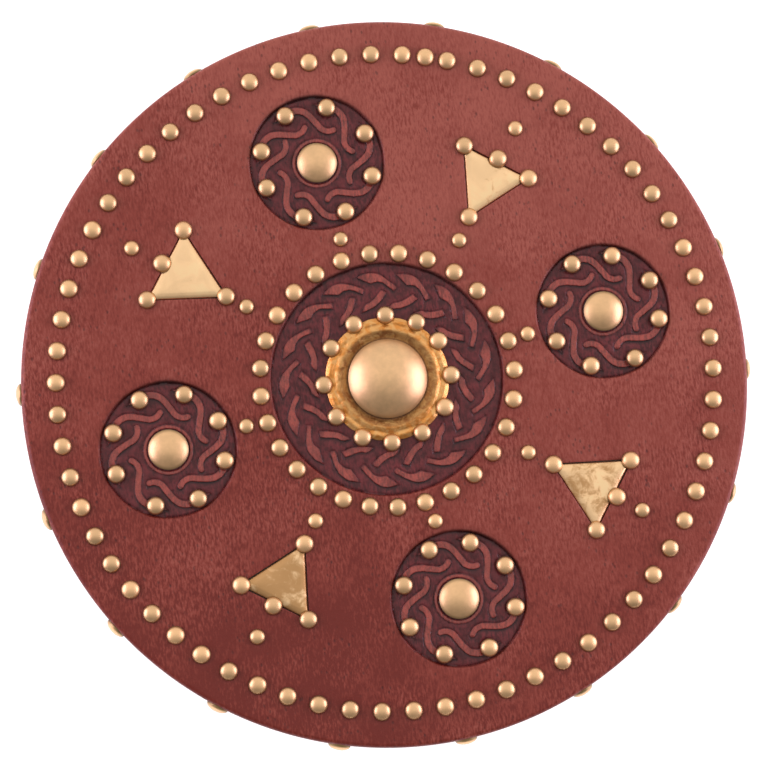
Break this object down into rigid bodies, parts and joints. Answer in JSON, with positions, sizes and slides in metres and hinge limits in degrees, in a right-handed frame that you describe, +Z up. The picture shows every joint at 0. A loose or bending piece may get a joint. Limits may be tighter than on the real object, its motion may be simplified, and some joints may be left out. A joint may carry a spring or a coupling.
{
  "type": "wooden round shield",
  "caption": "Round wooden shield covered in tooled leather with knotwork roundels, domed brass nails, brass boss and triangular plates; arm strap and hand grip on the back.",
  "frame": {"origin": "on the surface the shield lies on, under the middle of the disc", "axes": "+Z up through the boss as the shield lies face up; +Y to the top of the face as pictured; the straps run along Y"},
  "size_m": [0.5076, 0.5044, 0.079],
  "materials": {
    "cover_leather": "tooled red-brown hide, waxed, darker in the sunk grounds",
    "strap_leather": "thick oiled harness leather, dull",
    "board_wood": "planed softwood planks, bare",
    "brass": "pressed brass, polished, slightly worn",
    "collar_brass": "hammered sheet brass with darker hollows"
  },
  "bodies": {
    "root": {"board": "board_wood", "leather_cover": "cover_leather", "boss_collar": "collar_brass", "boss_dome": "brass", "boss_nail_01": "brass", "boss_nail_02": "brass", "boss_nail_03": "brass", "boss_nail_04": "brass", "boss_nail_05": "brass", "boss_nail_06": "brass", "boss_nail_07": "brass", "boss_nail_08": "brass", "boss_nail_09": "brass", "boss_nail_10": "brass", "boss_nail_11": "brass", "boss_nail_12": "brass", "plate_1": "brass", "plate_1_nail_1": "brass", "plate_1_nail_2": "brass", "plate_1_nail_3": "brass", "plate_1_nail_4": "brass", "plate_2": "brass", "plate_2_nail_1": "brass", "plate_2_nail_2": "brass", "plate_2_nail_3": "brass", "plate_2_nail_4": "brass", "plate_3": "brass", "plate_3_nail_1": "brass", "plate_3_nail_2": "brass", "plate_3_nail_3": "brass", "plate_3_nail_4": "brass", "plate_4": "brass", "plate_4_nail_1": "brass", "plate_4_nail_2": "brass", "plate_4_nail_3": "brass", "plate_4_nail_4": "brass", "roundel_stud_1": "brass", "roundel_stud_2": "brass", "roundel_stud_3": "brass", "roundel_stud_4": "brass", "stud_01": "brass", "stud_02": "brass", "stud_03": "brass", "stud_04": "brass", "stud_05": "brass", "stud_06": "brass", "stud_07": "brass", "stud_08": "brass", "stud_09": "brass", "stud_10": "brass", "stud_11": "brass", "stud_12": "brass", "arm_strap": "strap_leather", "hand_grip": "strap_leather"}
  },
  "joints": []
}
